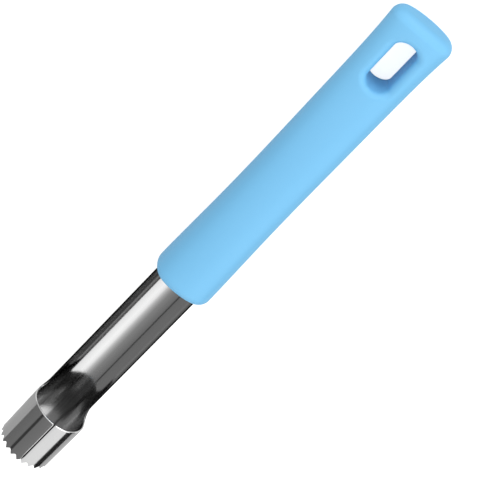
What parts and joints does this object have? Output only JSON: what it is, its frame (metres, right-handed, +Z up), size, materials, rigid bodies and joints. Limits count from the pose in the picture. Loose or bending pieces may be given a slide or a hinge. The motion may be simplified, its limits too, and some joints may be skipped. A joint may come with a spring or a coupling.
{
  "type": "apple corer",
  "caption": "A hand corer for apples: a toothed steel ring on an open steel channel, with a moulded plastic handle that has a hang slot.",
  "frame": {"origin": "middle of the overall box, on the surface that the corer lies on", "axes": "+X from the teeth to the hang end, +Z up, towards the side that the channel is open to"},
  "size_m": [0.2026, 0.0226, 0.0235],
  "materials": {
    "steel": "polished",
    "handle_plastic": "satin"
  },
  "bodies": {
    "root": {"coring_blade": "steel", "handle": "handle_plastic"}
  },
  "joints": []
}
